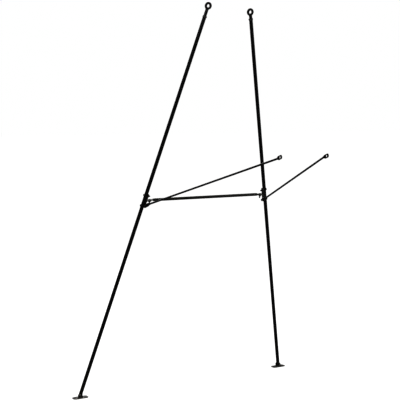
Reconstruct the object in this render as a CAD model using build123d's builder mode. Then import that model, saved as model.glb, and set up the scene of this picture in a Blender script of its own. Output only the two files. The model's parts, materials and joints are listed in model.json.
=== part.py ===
from build123d import *
from math import asin, cos, hypot, radians, sin
import os

# A two-legged steel support frame for a field easel.
# Millimetres. X runs across the frame, Y from front to back, Z up from the ground.
# The origin is on the ground, halfway between the two foot pins.
# Both legs lie in one plane that leans forward, towards -Y, so their tops stand in
# front of their feet. "Station" is a distance along a leg's axis from its foot pin.

# ---- frame ----
leg_reach = 1855.0  # foot pin to the left ring eye's centre
foot_spacing = 1107.0  # between the foot pins
ring_spacing = 216.0  # between the leg axes at the ring eyes
frame_lean = 12.8  # the leg plane from upright, degrees
bar_station = 957.0  # the cross bar's axis

# ---- legs ----
leg_diameter = 16.0
leg_wall = 1.2
leg_tail = 5.0  # tube below the foot pin
spigot_wall = 1.5
spigot_half_length = 50.0

# ---- ring eyes ----
left_eye_showing = 45.0  # ring centre to the top of the tube
right_eye_showing = 28.0
ring_outer_diameter = 33.0
ring_bore = 14.0
ring_thickness = 10.0
ring_outer_rounding = 3.6
ring_bore_rounding = 1.5
eye_stem_length = 90.0  # from the ring's centre
eye_stem_clearance = 0.05  # radial, in the tube
eye_neck_top = 12.0  # below the ring's centre
eye_neck_bottom = 24.0
eye_neck_half_width = 9.0
collar_length = 8.0
collar_wall = 1.0
grub_diameter = 5.0
grub_socket = 2.5  # across flats
grub_socket_depth = 1.8
grub_showing = 1.6
grub_tip_gap = 0.1

# ---- M6 fasteners ----
bolt_diameter = 6.0
bolt_clearance = 0.2  # radial, in the holes it passes
hex_across_flats = 10.0
head_height = 3.0
nut_height = 5.0
leg_bolt_showing = 1.8  # past the pivot's nut
bar_bolt_showing = 9.4  # past the cross bar's nut
bolt_end_chamfer = 0.7
hex_corner_trim = 0.6

# ---- brackets ----
bracket_length = 64.0  # along the leg
bracket_width = 20.0
bracket_thickness = 3.0
bracket_corner = 5.0
saddle_depth = 1.0  # how far the leg sinks into the plate
upper_bolt_offset = 23.0  # above the cross bar's axis
pivot_bolt_offset = 26.0  # below it
shelf_width = 16.0
shelf_thickness = 3.0
shelf_end_margin = 10.0  # past the bar bolt's axis

# ---- cross bar ----
bar_diameter = 12.7
bar_wall = 1.2
bar_end_gap = 2.2  # bar's end to the bracket plate
bar_bolt_inset = 14.0  # bar's end to its bolt
bar_flat_length = 24.0
bar_flat_width = 16.5
bar_flat_thickness = 2.6
bar_taper_length = 12.0

# ---- stays ----
stay_diameter = 8.0
stay_eye_spacing = 228.0
stay_eye_forward = 954.0  # stay eye in front of the foot pins
stay_eye_height = 1124.0  # above the foot pins
stay_eye_bore = 9.0
tab_width = 17.0
tab_thickness = 3.0
tab_tip = 14.0  # eye's centre to the tab's tip
tab_flat_length = 26.0  # lower tab, hole's centre to the start of the taper
tab_taper_length = 14.0
eye_flat_length = 9.0  # upper tab, the same two lengths
eye_taper_length = 12.0
pivot_radial_clearance = 0.07
pivot_side_clearance = 0.1
washer_outer_diameter = 12.0
washer_thickness = 1.0

# ---- feet ----
foot_length = 74.0
foot_width = 34.0
foot_thickness = 3.0
foot_corner = 12.0
foot_swing_gap = 0.6  # tube's end to the plate, at its closest
ear_clearance = 0.5  # ear to the leg's side
ear_thickness = 2.5
ear_radius = 7.5
foot_pin_diameter = 6.0
foot_pin_clearance = 0.07  # radial, in the leg
foot_pin_head_diameter = 10.0
foot_pin_head_height = 2.0
stake_hole = 9.0
stake_hole_margin = 11.0  # its centre to the plate's end

# ---- worked out from the above ----
sides = {"left": -1, "right": 1}
lean = radians(frame_lean)
splay = asin((foot_spacing - ring_spacing) / 2 / leg_reach)
leg_radius = leg_diameter / 2
leg_inner_radius = leg_radius - leg_wall
pin_height = foot_thickness + hypot(leg_radius, leg_tail) + foot_swing_gap
stake_hole_offset = foot_length / 2 - stake_hole_margin
bolt_hole = bolt_diameter + 2 * bolt_clearance
pivot_bore = bolt_diameter + 2 * pivot_radial_clearance
tube_top = leg_reach - left_eye_showing
upper_bolt_station = bar_station + upper_bolt_offset
pivot_station = bar_station - pivot_bolt_offset
eye_station = {"left": leg_reach, "right": tube_top + right_eye_showing}
plate_back = leg_radius - saddle_depth  # offsets from the leg's axis, inwards
plate_face = plate_back + bracket_thickness
tab_back = plate_face + washer_thickness + pivot_side_clearance
tab_middle = tab_back + tab_thickness / 2
tab_face = tab_back + tab_thickness
pivot_nut_seat = tab_face + pivot_side_clearance + washer_thickness
leg_bolt_length = leg_radius + pivot_nut_seat + nut_height + leg_bolt_showing
bar_bolt_length = bar_flat_thickness + shelf_thickness + nut_height + bar_bolt_showing
frame_up = Vector(0, -sin(lean), cos(lean))  # up, in the plane of the legs
frame_back = Vector(0, cos(lean), sin(lean))  # square to that plane
world_up = Vector(0, 0, 1)


def foot_pin_point(side):
    return Vector(side * foot_spacing / 2, 0, pin_height)


def leg_up(side):
    return frame_up * cos(splay) + Vector(-side * sin(splay), 0, 0)


def leg_in(side):
    return Vector(-side * cos(splay), 0, 0) - frame_up * sin(splay)


def leg_point(side, station, inwards=0.0):
    return foot_pin_point(side) + leg_up(side) * station + leg_in(side) * inwards


def leg_plane(side, station):
    """Square to the leg, with x towards the other leg."""
    return Plane(origin=leg_point(side, station), x_dir=leg_in(side), z_dir=leg_up(side))


def bolt_plane(side, station, inwards):
    """Square to a bolt through the leg, which points towards the other leg."""
    return Plane(
        origin=leg_point(side, station, inwards), x_dir=leg_up(side), z_dir=leg_in(side)
    )


def foot_heading(side):
    """The level direction that the leg's own tilt points in."""
    up = leg_up(side)
    return Vector(up.X, up.Y, 0).normalized()


def foot_axis(side):
    """The foot pin's line: level, and square to the leg."""
    return world_up.cross(foot_heading(side))


def foot_plane(side, sideways):
    """Square to the foot pin, with y upwards."""
    return Plane(
        origin=foot_pin_point(side) + foot_axis(side) * sideways,
        x_dir=-foot_heading(side),
        z_dir=foot_axis(side),
    )


def bar_bolt_point(side):
    """On the cross bar's axis, where its end bolt crosses it."""
    from_leg = plate_face / cos(splay) + bar_end_gap + bar_bolt_inset
    return leg_point(side, bar_station) - Vector(side * from_leg, 0, 0)


def bar_bolt_plane(side, upwards):
    return Plane(
        origin=bar_bolt_point(side) + frame_up * upwards,
        x_dir=Vector(-side, 0, 0),
        z_dir=frame_up,
    )


def pivot_point(side):
    """On the pivot bolt's axis, in the middle of the stay's lower tab."""
    return leg_point(side, pivot_station, tab_middle)


def stay_eye_point(side):
    return Vector(side * stay_eye_spacing / 2, -stay_eye_forward, pin_height + stay_eye_height)


def flat_towards(vector, normal):
    """The unit direction nearest to a vector in the plane square to a normal."""
    return (vector - normal * vector.dot(normal)).normalized()


def make_hex(plane, height, bore_diameter):
    """A hexagon with its outer corners turned off, and a bore if one is given."""
    with BuildPart() as hexagon:
        with BuildSketch(plane):
            Circle(hex_across_flats / 2 / cos(radians(30)))
        extrude(amount=height)
        rim = hexagon.edges().filter_by(GeomType.CIRCLE).sort_by(Axis(plane.origin, plane.z_dir))[-1]
        chamfer(rim, hex_corner_trim)
        with BuildSketch(plane):
            RegularPolygon(hex_across_flats / 2, 6, major_radius=False)
            if bore_diameter:
                Circle(bore_diameter / 2, mode=Mode.SUBTRACT)
        extrude(amount=height, mode=Mode.INTERSECT)
    return hexagon.part


def make_bolt(plane, length):
    """A hex bolt: its head stands on the plane's back, its shank points along z."""
    head_plane = Plane(origin=plane.origin, x_dir=plane.x_dir, z_dir=-plane.z_dir)
    with BuildPart() as bolt:
        add(make_hex(head_plane, head_height, 0))
        with BuildSketch(plane):
            Circle(bolt_diameter / 2)
        extrude(amount=length)
        tip = bolt.edges().filter_by(GeomType.CIRCLE).sort_by(Axis(plane.origin, plane.z_dir))[-1]
        chamfer(tip, bolt_end_chamfer)
    return bolt.part


def make_washer(plane):
    with BuildPart() as washer:
        with BuildSketch(plane):
            Circle(washer_outer_diameter / 2)
            Circle(bolt_hole / 2, mode=Mode.SUBTRACT)
        extrude(amount=washer_thickness)
    return washer.part


def make_tab(centre, hole_line, along, rod_line, bore, tip, flat_length, taper_length):
    """A stay's forged end: a round-nosed tab with a hole, and its taper to the rod."""
    across = hole_line.cross(along)
    rod_plane = Plane(
        origin=centre + along * (flat_length + taper_length),
        x_dir=flat_towards(across, rod_line),
        z_dir=rod_line,
    )
    taper_plane = Plane(origin=centre + along * flat_length, x_dir=across, z_dir=along)
    tab_plane = Plane(
        origin=centre - hole_line * (tab_thickness / 2), x_dir=along, z_dir=hole_line
    )
    nose = tab_width / 2 - tip
    with BuildPart() as tab:
        with BuildSketch(rod_plane):
            Circle(stay_diameter / 2)
        with BuildSketch(taper_plane):
            Ellipse(tab_width / 2, tab_thickness / 2)
        loft()
        with BuildSketch(tab_plane):
            with Locations((nose, 0)):
                Circle(tab_width / 2)
            with Locations(((nose + flat_length) / 2, 0)):
                Rectangle(flat_length - nose, tab_width)
            Circle(bore / 2, mode=Mode.SUBTRACT)
        extrude(amount=tab_thickness)
    return tab.part


os.makedirs("parts", exist_ok=True)

for name, side in sides.items():
    # Lower leg: the tube from the foot pin up to the cross bar.
    with BuildPart() as lower_leg:
        with BuildSketch(leg_plane(side, -leg_tail)):
            Circle(leg_radius)
            Circle(leg_inner_radius, mode=Mode.SUBTRACT)
        extrude(amount=bar_station + leg_tail)
        with BuildSketch(bolt_plane(side, pivot_station, -leg_diameter)):
            Circle(bolt_hole / 2)
        extrude(amount=2 * leg_diameter, mode=Mode.SUBTRACT)
        with BuildSketch(foot_plane(side, -leg_diameter)):
            Circle(foot_pin_diameter / 2 + foot_pin_clearance)
        extrude(amount=2 * leg_diameter, mode=Mode.SUBTRACT)
    lower_leg.part.label = f"{name}_lower_leg"
    export_step(lower_leg.part, f"parts/{name}_lower_leg.step")

    # Upper leg: stands on the lower leg and takes the ring eye's stem in its top.
    grub_station = tube_top - collar_length / 2
    with BuildPart() as upper_leg:
        with BuildSketch(leg_plane(side, bar_station)):
            Circle(leg_radius)
            Circle(leg_inner_radius, mode=Mode.SUBTRACT)
        extrude(amount=tube_top - bar_station)
        with BuildSketch(bolt_plane(side, upper_bolt_station, -leg_diameter)):
            Circle(bolt_hole / 2)
        extrude(amount=2 * leg_diameter, mode=Mode.SUBTRACT)
        with BuildSketch(bolt_plane(side, grub_station, 0)):
            Circle(grub_diameter / 2)
        extrude(amount=leg_diameter, mode=Mode.SUBTRACT)
    upper_leg.part.label = f"{name}_upper_leg"
    export_step(upper_leg.part, f"parts/{name}_upper_leg.step")

    # Spigot: the sleeve inside both tubes that keeps the two halves in line.
    with BuildPart() as spigot:
        with BuildSketch(leg_plane(side, bar_station - spigot_half_length)):
            Circle(leg_inner_radius)
            Circle(leg_inner_radius - spigot_wall, mode=Mode.SUBTRACT)
        extrude(amount=2 * spigot_half_length)
        for station in (upper_bolt_station, pivot_station):
            with BuildSketch(bolt_plane(side, station, -leg_diameter)):
                Circle(bolt_hole / 2)
            extrude(amount=2 * leg_diameter, mode=Mode.SUBTRACT)
    spigot.part.label = f"{name}_leg_spigot"
    export_step(spigot.part, f"parts/{name}_leg_spigot.step")

    # Collar: a short sleeve round the tube's top, tapped for the grub screw.
    with BuildPart() as collar:
        with BuildSketch(leg_plane(side, tube_top - collar_length)):
            Circle(leg_radius + collar_wall)
            Circle(leg_radius, mode=Mode.SUBTRACT)
        extrude(amount=collar_length)
        with BuildSketch(bolt_plane(side, grub_station, 0)):
            Circle(grub_diameter / 2)
        extrude(amount=leg_diameter, mode=Mode.SUBTRACT)
    collar.part.label = f"{name}_top_collar"
    export_step(collar.part, f"parts/{name}_top_collar.step")

    # Grub screw: clamps the eye's stem through the collar and the tube.
    stem_radius = leg_inner_radius - eye_stem_clearance
    grub_tip = stem_radius + grub_tip_gap
    grub_end = leg_radius + collar_wall + grub_showing
    with BuildPart() as grub:
        with BuildSketch(bolt_plane(side, grub_station, grub_tip)):
            Circle(grub_diameter / 2)
        extrude(amount=grub_end - grub_tip)
        with BuildSketch(bolt_plane(side, grub_station, grub_end)):
            RegularPolygon(grub_socket / 2, 6, major_radius=False)
        extrude(amount=-grub_socket_depth, mode=Mode.SUBTRACT)
    grub.part.label = f"{name}_grub_screw"
    export_step(grub.part, f"parts/{name}_grub_screw.step")

    # Ring eye: a forged ring with a round stem that slides in the tube.
    ring_centre = leg_point(side, eye_station[name])
    ring_plane = Plane(origin=ring_centre, x_dir=leg_up(side), z_dir=frame_back)
    section_plane = Plane(origin=ring_centre, x_dir=leg_up(side), z_dir=ring_plane.y_dir)
    ring_axis = Axis(ring_centre, frame_back)
    ring_wall = (ring_outer_diameter - ring_bore) / 2
    with BuildPart() as eye:
        with BuildSketch(section_plane) as ring_section:
            with Locations(((ring_bore + ring_wall) / 2, 0)):
                Rectangle(ring_wall, ring_thickness)
            fillet(ring_section.vertices().sort_by(Axis.X)[:2], ring_bore_rounding)
            fillet(ring_section.vertices().sort_by(Axis.X)[-2:], ring_outer_rounding)
        revolve(axis=ring_axis)
        with BuildSketch(leg_plane(side, eye_station[name] - eye_neck_bottom)):
            Circle(stem_radius)
        with BuildSketch(leg_plane(side, eye_station[name] - eye_neck_top)):
            Ellipse(eye_neck_half_width, ring_thickness / 2)
        loft()
        with BuildSketch(leg_plane(side, eye_station[name] - eye_stem_length)):
            Circle(stem_radius)
        extrude(amount=eye_stem_length - eye_neck_bottom)
        with BuildSketch(ring_plane.offset(-ring_thickness)):
            Circle(ring_bore / 2)
        extrude(amount=2 * ring_thickness, mode=Mode.SUBTRACT)
    eye.part.label = f"{name}_ring_eye"
    export_step(eye.part, f"parts/{name}_ring_eye.step")

    # Bracket: a plate bolted along the leg, with a shelf for the cross bar's end.
    shelf_top = -bar_flat_thickness / 2
    shelf_start = (plate_back + plate_face) / 2
    shelf_end = plate_face / cos(splay) + bar_end_gap + bar_bolt_inset + shelf_end_margin
    shelf_plane = Plane(
        origin=leg_point(side, bar_station) + frame_up * (shelf_top - shelf_thickness),
        x_dir=Vector(-side, 0, 0),
        z_dir=frame_up,
    )
    with BuildPart() as bracket:
        with BuildSketch(bolt_plane(side, bar_station, plate_back)):
            RectangleRounded(bracket_length, bracket_width, bracket_corner)
        extrude(amount=bracket_thickness)
        with BuildSketch(shelf_plane):
            with Locations(((shelf_start + shelf_end - shelf_width / 2) / 2, 0)):
                Rectangle(shelf_end - shelf_width / 2 - shelf_start, shelf_width)
            with Locations((shelf_end - shelf_width / 2, 0)):
                Circle(shelf_width / 2)
        extrude(amount=shelf_thickness)
        with BuildSketch(leg_plane(side, bar_station - bracket_length)):
            Circle(leg_radius)
        extrude(amount=2 * bracket_length, mode=Mode.SUBTRACT)
        for station in (upper_bolt_station, pivot_station):
            with BuildSketch(bolt_plane(side, station, 0)):
                Circle(bolt_hole / 2)
            extrude(amount=leg_diameter, mode=Mode.SUBTRACT)
        with BuildSketch(bar_bolt_plane(side, -bar_diameter)):
            Circle(bolt_hole / 2)
        extrude(amount=bar_diameter, mode=Mode.SUBTRACT)
    bracket.part.label = f"{name}_bar_bracket"
    export_step(bracket.part, f"parts/{name}_bar_bracket.step")

    # Bolts through the leg, from the outside, and the nuts on the inside.
    for place, station in (("upper", upper_bolt_station), ("pivot", pivot_station)):
        with BuildPart() as leg_bolt:
            add(make_bolt(bolt_plane(side, station, -leg_radius), leg_bolt_length))
        leg_bolt.part.label = f"{name}_{place}_bolt"
        export_step(leg_bolt.part, f"parts/{name}_{place}_bolt.step")

    with BuildPart() as upper_washer:
        add(make_washer(bolt_plane(side, upper_bolt_station, plate_face)))
    upper_washer.part.label = f"{name}_upper_washer"
    export_step(upper_washer.part, f"parts/{name}_upper_washer.step")

    with BuildPart() as pivot_washers:
        add(make_washer(bolt_plane(side, pivot_station, plate_face)))
        add(make_washer(bolt_plane(side, pivot_station, tab_face + pivot_side_clearance)))
    pivot_washers.part.label = f"{name}_pivot_washers"
    export_step(pivot_washers.part, f"parts/{name}_pivot_washers.step")

    upper_nut_seat = plate_face + washer_thickness
    with BuildPart() as upper_nut:
        add(make_hex(bolt_plane(side, upper_bolt_station, upper_nut_seat), nut_height, bolt_diameter))
    upper_nut.part.label = f"{name}_upper_nut"
    export_step(upper_nut.part, f"parts/{name}_upper_nut.step")

    with BuildPart() as pivot_nut:
        add(make_hex(bolt_plane(side, pivot_station, pivot_nut_seat), nut_height, bolt_diameter))
    pivot_nut.part.label = f"{name}_pivot_nut"
    export_step(pivot_nut.part, f"parts/{name}_pivot_nut.step")

    # The bolt and nut that hold the cross bar's flattened end on the shelf.
    head_seat = bar_bolt_plane(side, bar_flat_thickness / 2)
    with BuildPart() as bar_bolt:
        downwards = Plane(origin=head_seat.origin, x_dir=head_seat.x_dir, z_dir=-frame_up)
        add(make_bolt(downwards, bar_bolt_length))
    bar_bolt.part.label = f"{name}_bar_bolt"
    export_step(bar_bolt.part, f"parts/{name}_bar_bolt.step")

    shelf_underside = bar_bolt_plane(side, shelf_top - shelf_thickness)
    with BuildPart() as bar_nut:
        below = Plane(origin=shelf_underside.origin, x_dir=head_seat.x_dir, z_dir=-frame_up)
        add(make_hex(below, nut_height, bolt_diameter))
    bar_nut.part.label = f"{name}_bar_nut"
    export_step(bar_nut.part, f"parts/{name}_bar_nut.step")

    # Stay: a solid rod, forged flat at both ends. The lower tab turns on the pivot
    # bolt; the eye's tab is set square to X, so that both stays take one cross bolt.
    pivot = pivot_point(side)
    far_eye = stay_eye_point(side)
    lower_along = flat_towards(far_eye - pivot, leg_in(side))
    upper_along = flat_towards(pivot - far_eye, Vector(1, 0, 0))
    rod_start = pivot + lower_along * (tab_flat_length + tab_taper_length)
    rod_end = far_eye + upper_along * (eye_flat_length + eye_taper_length)
    rod_line = (rod_end - rod_start).normalized()
    with BuildPart() as stay:
        with BuildSketch(Plane(origin=rod_start, z_dir=rod_line)):
            Circle(stay_diameter / 2)
        extrude(amount=(rod_end - rod_start).length)
        add(
            make_tab(
                pivot, leg_in(side), lower_along, rod_line, pivot_bore,
                tab_width / 2, tab_flat_length, tab_taper_length,
            )
        )
        add(
            make_tab(
                far_eye, Vector(1, 0, 0), upper_along, -rod_line, stay_eye_bore,
                tab_tip, eye_flat_length, eye_taper_length,
            )
        )
    stay.part.label = f"{name}_stay"
    export_step(stay.part, f"parts/{name}_stay.step")

    # Foot plate: lies flat on the ground, its length across the frame, with two ears
    # that hold the leg's end and stand square to the pin.
    ear_inside = leg_radius + ear_clearance
    ear_drop = pin_height - foot_thickness / 2
    ground = Plane(
        origin=foot_pin_point(side) - world_up * pin_height,
        x_dir=Vector(-side, 0, 0),
        z_dir=world_up,
    )
    with BuildPart() as foot_plate:
        with BuildSketch(ground):
            RectangleRounded(foot_length, foot_width, foot_corner)
            with Locations((-stake_hole_offset, 0), (stake_hole_offset, 0)):
                Circle(stake_hole / 2, mode=Mode.SUBTRACT)
        extrude(amount=foot_thickness)
        for sideways in (ear_inside, -ear_inside - ear_thickness):
            with BuildSketch(foot_plane(side, sideways)):
                Circle(ear_radius)
                with Locations((0, -ear_drop / 2)):
                    Rectangle(2 * ear_radius, ear_drop)
                Circle(foot_pin_diameter / 2, mode=Mode.SUBTRACT)
            extrude(amount=ear_thickness)
    foot_plate.part.label = f"{name}_foot_plate"
    export_step(foot_plate.part, f"parts/{name}_foot_plate.step")

    # Foot pin: a rivet through both ears, on which the leg's end turns.
    ear_outside = ear_inside + ear_thickness
    with BuildPart() as foot_pin:
        with BuildSketch(foot_plane(side, -ear_outside)):
            Circle(foot_pin_diameter / 2)
        extrude(amount=2 * ear_outside)
        for outside in (ear_outside, -ear_outside - foot_pin_head_height):
            with BuildSketch(foot_plane(side, outside)):
                Circle(foot_pin_head_diameter / 2)
            extrude(amount=foot_pin_head_height)
    foot_pin.part.label = f"{name}_foot_pin"
    export_step(foot_pin.part, f"parts/{name}_foot_pin.step")

# Cross bar: a tube whose two ends are pressed flat and drilled.
bar_middle = (bar_bolt_point(-1) + bar_bolt_point(1)) * 0.5
bar_half_length = abs(bar_bolt_point(1).X) + bar_bolt_inset
taper_outer = bar_half_length - bar_flat_length
taper_inner = taper_outer - bar_taper_length


def bar_plane(across):
    """Square to the cross bar, with x level across the pressed ends' width."""
    return Plane(origin=bar_middle + Vector(across, 0, 0), x_dir=frame_back, z_dir=Vector(1, 0, 0))


with BuildPart() as cross_bar:
    with BuildSketch(bar_plane(-taper_inner)):
        Circle(bar_diameter / 2)
    extrude(amount=2 * taper_inner)
    for side in sides.values():
        with BuildSketch(bar_plane(side * taper_inner)):
            Circle(bar_diameter / 2)
        with BuildSketch(bar_plane(side * taper_outer)):
            Ellipse(bar_flat_width / 2, bar_flat_thickness / 2)
        loft()
        flat_plane = Plane(
            origin=bar_middle - frame_up * (bar_flat_thickness / 2),
            x_dir=Vector(side, 0, 0),
            z_dir=frame_up,
        )
        with BuildSketch(flat_plane):
            with Locations(((taper_outer + bar_half_length) / 2, 0)):
                Rectangle(bar_flat_length, bar_flat_width)
            with Locations((bar_half_length - bar_bolt_inset, 0)):
                Circle(bolt_hole / 2, mode=Mode.SUBTRACT)
        extrude(amount=bar_flat_thickness)
    with BuildSketch(bar_plane(-taper_inner)):
        Circle(bar_diameter / 2 - bar_wall)
    extrude(amount=2 * taper_inner, mode=Mode.SUBTRACT)
cross_bar.part.label = "cross_bar"
export_step(cross_bar.part, "parts/cross_bar.step")
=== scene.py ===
import json
import bpy
import bmesh
import numpy as np
from mathutils import Matrix


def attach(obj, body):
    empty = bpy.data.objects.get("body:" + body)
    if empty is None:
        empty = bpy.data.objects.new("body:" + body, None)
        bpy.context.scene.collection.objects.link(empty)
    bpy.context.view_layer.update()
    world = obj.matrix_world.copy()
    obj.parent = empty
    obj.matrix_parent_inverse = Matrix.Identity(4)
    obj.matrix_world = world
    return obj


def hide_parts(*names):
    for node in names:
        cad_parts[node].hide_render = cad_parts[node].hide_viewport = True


# Settings are in millimetres; mm turns them into metres.
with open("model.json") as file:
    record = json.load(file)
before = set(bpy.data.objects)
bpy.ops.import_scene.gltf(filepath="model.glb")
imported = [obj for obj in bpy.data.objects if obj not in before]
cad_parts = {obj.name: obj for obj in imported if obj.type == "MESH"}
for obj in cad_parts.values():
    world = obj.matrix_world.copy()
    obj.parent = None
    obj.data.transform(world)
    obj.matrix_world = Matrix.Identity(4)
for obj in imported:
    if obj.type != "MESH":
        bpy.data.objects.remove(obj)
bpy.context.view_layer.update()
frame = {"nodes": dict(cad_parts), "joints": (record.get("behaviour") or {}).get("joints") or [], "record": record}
mm = 0.001
join = np.concatenate
mounts = {m["name"]: m for m in frame["record"]["mounts"]}
joints = {j["name"]: j for j in frame["joints"]}
sides = {"left": -1, "right": 1}
acrossAxis = np.array([1.0, 0.0, 0.0])
worldUp = np.array([0.0, 0.0, 1.0])
print("frame loaded,", len(frame["nodes"]), "nodes")


def unit(v):
    v = np.asarray(v, float)
    return v / np.linalg.norm(v)


def squareTo(v, axis):  # the direction of v with its part along axis taken away
    return unit(v - axis * np.dot(v, axis))


def makeBasis(at, z, x):  # right-handed: z along a piece's axis, x as near to the given one as it can be
    z = unit(z)
    x = squareTo(np.asarray(x, float), z)
    return {"at": np.asarray(at, float), "x": x, "y": np.cross(z, x), "z": z}


def placePoints(basis, local):  # local points in mm, with x, y and z last
    turned = local[..., 0:1] * basis["x"] + local[..., 1:2] * basis["y"] + local[..., 2:3] * basis["z"]
    return basis["at"] + mm * turned


def legPlace(name, side):
    # A leg's axis runs from the foot's hinge to the ring's centre; inwards is towards the other leg.
    foot = np.array(joints[f"{name}_foot_hinge"]["pos_m"])
    ring = np.array(mounts[f"{name}_ring_eye_bore"]["pos_m"])
    back = unit(mounts[f"{name}_ring_eye_bore"]["axis"])
    up = unit(ring - foot)
    pivot = np.array(joints[f"{name}_stay_hinge"]["pos_m"])
    return {
        "foot": foot, "ring": ring, "back": back, "up": up,
        "inwards": squareTo(-side * acrossAxis, up),
        "pivotStation": np.dot(pivot - foot, up) / mm,
        "pivot": pivot,
    }


legs = {name: legPlace(name, side) for name, side in sides.items()}
frameBack = legs["left"]["back"]
frameUp = np.cross(acrossAxis, frameBack)


def legPoint(leg, station, inset=0.0):  # mm along a leg from its foot pin, and mm inwards from its axis
    return leg["foot"] + mm * (station * leg["up"] + inset * leg["inwards"])


# How the pieces stand on the legs; each value is the frame's own.
layout = {
    "pivotBelowBar": 26.0, "upperBoltAboveBar": 23.0, "legRadius": 8.0, "plateBack": 7.0,
    "plateThick": 3.0, "washerThick": 1.0, "tabThick": 3.0, "sideClearance": 0.1,
    "barBoltFromPlate": 16.2, "barFlatThick": 2.6, "shelfThick": 3.0, "collarLength": 8.0,
}
for leg in legs.values():
    leg["barStation"] = leg["pivotStation"] + layout["pivotBelowBar"]
    leg["upperBoltStation"] = leg["barStation"] + layout["upperBoltAboveBar"]
plateFace = layout["plateBack"] + layout["plateThick"]


def barBoltPoint(name):  # on the cross bar's axis, where its end bolt crosses it
    leg = legs[name]
    fromLeg = plateFace / np.dot(leg["inwards"], -sides[name] * acrossAxis) + layout["barBoltFromPlate"]
    return legPoint(leg, leg["barStation"]) - sides[name] * fromLeg * mm * acrossAxis


def gridQuads(rows, columns, closeRows, closeColumns):
    # The quads of a grid whose points are numbered row by row; a closed way wraps round to its start.
    i = np.arange(rows if closeRows else rows - 1)[:, None]
    j = np.arange(columns if closeColumns else columns - 1)[None, :]
    nextI, nextJ = (i + 1) % rows, (j + 1) % columns
    corners = [i * columns + j, i * columns + nextJ, nextI * columns + nextJ, nextI * columns + j]
    return np.stack([np.broadcast_to(c, (i.size, j.size)) for c in corners], -1)


def gridShell(points, wear, closeRows=False, closeColumns=True, caps=(False, False)):
    # A surface on a grid of points; a cap closes the first or last row with a fan to its middle.
    rows, columns = points.shape[:2]
    verts = [points.reshape(-1, 3)]
    worn = [np.broadcast_to(wear, (rows, columns)).reshape(-1)]
    quads = gridQuads(rows, columns, closeRows, closeColumns).reshape(-1, 4)
    tris = []
    for row, wanted in ((0, caps[0]), (rows - 1, caps[1])):
        if wanted:
            middle = sum(len(v) for v in verts)
            verts.append(points[row].mean(0)[None, :])
            worn.append(np.zeros(1))
            ring = row * columns + np.arange(columns)
            tris.append(np.stack([ring, np.roll(ring, -1), np.full(columns, middle)], -1))
    return {
        "verts": join(verts),
        "wear": join(worn),
        "quads": quads,
        "tris": join(tris) if tris else np.zeros((0, 3), int),
    }


def buildPiece(name, shells, body, nodes, material, sharp=40.0):
    # Joins shells into one mesh, merges what meets and turns every face outwards.
    starts = np.cumsum([0] + [len(s["verts"]) for s in shells])
    verts = join([s["verts"] for s in shells])
    faces = []
    for shell, start in zip(shells, starts):
        faces += (shell["quads"] + start).tolist() + (shell["tris"] + start).tolist()
    mesh = bpy.data.meshes.new(name)
    mesh.from_pydata(verts.tolist(), [], faces)
    layer = mesh.attributes.new("wear", "FLOAT", "POINT")
    layer.data.foreach_set("value", join([s["wear"] for s in shells]).astype(np.float32))
    work = bmesh.new()
    work.from_mesh(mesh)
    bmesh.ops.remove_doubles(work, verts=work.verts, dist=2e-7)
    bmesh.ops.dissolve_degenerate(work, edges=work.edges, dist=1e-7)
    bmesh.ops.recalc_face_normals(work, faces=work.faces)
    work.to_mesh(mesh)
    work.free()
    mesh.shade_smooth()
    mesh.set_sharp_from_angle(angle=np.radians(sharp))
    piece = bpy.data.objects.new(name, mesh)
    bpy.context.scene.collection.objects.link(piece)
    mesh.materials.append(material)
    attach(piece, body)
    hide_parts(*nodes)
    return piece


def edgeBend(edge, half, turns=4):
    # A quarter turn from the top face to the wall and one from the wall to the bottom face:
    # how far each point is inside the outline, its height, and how worn it gets.
    down = np.radians(np.linspace(90, 0, turns + 1))
    inset = edge * (1 - np.cos(down))
    high = (half - edge) + edge * np.sin(down)
    worn = 0.25 + 0.75 * np.sin(2 * down)
    high = join([high, -high[::-1]])
    return join([inset, inset[::-1]]), high, join([worn, worn[::-1]])


outlineSteps = {"across": 11, "side": 8, "corner": 12}  # points on a flat end's outline


def endOutline(end, inset):
    # A flat end seen from above, its hole at 0, 0: straight across at reach, sides, two round corners.
    half, corner = end["width"] / 2, end["corner"]
    middle = corner - end["tip"]
    across = np.linspace(-half, half, outlineSteps["across"]) * (half - inset) / half
    side = np.linspace(end["reach"], middle, outlineSteps["side"] + 1)[1:]
    turn = np.radians(np.linspace(90, 180, outlineSteps["corner"] + 1))
    radius = max(corner - inset, 0.01)
    upX = join([side, middle + radius * np.cos(turn[1:])])
    straightY = np.full(outlineSteps["side"], half - inset)
    upY = join([straightY, half - corner + radius * np.sin(turn[1:])])
    x = join([np.full(outlineSteps["across"], end["reach"]), upX, upX[::-1]])
    y = join([across, upY, -upY[::-1]])
    return np.stack([x, y], -1)


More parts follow.
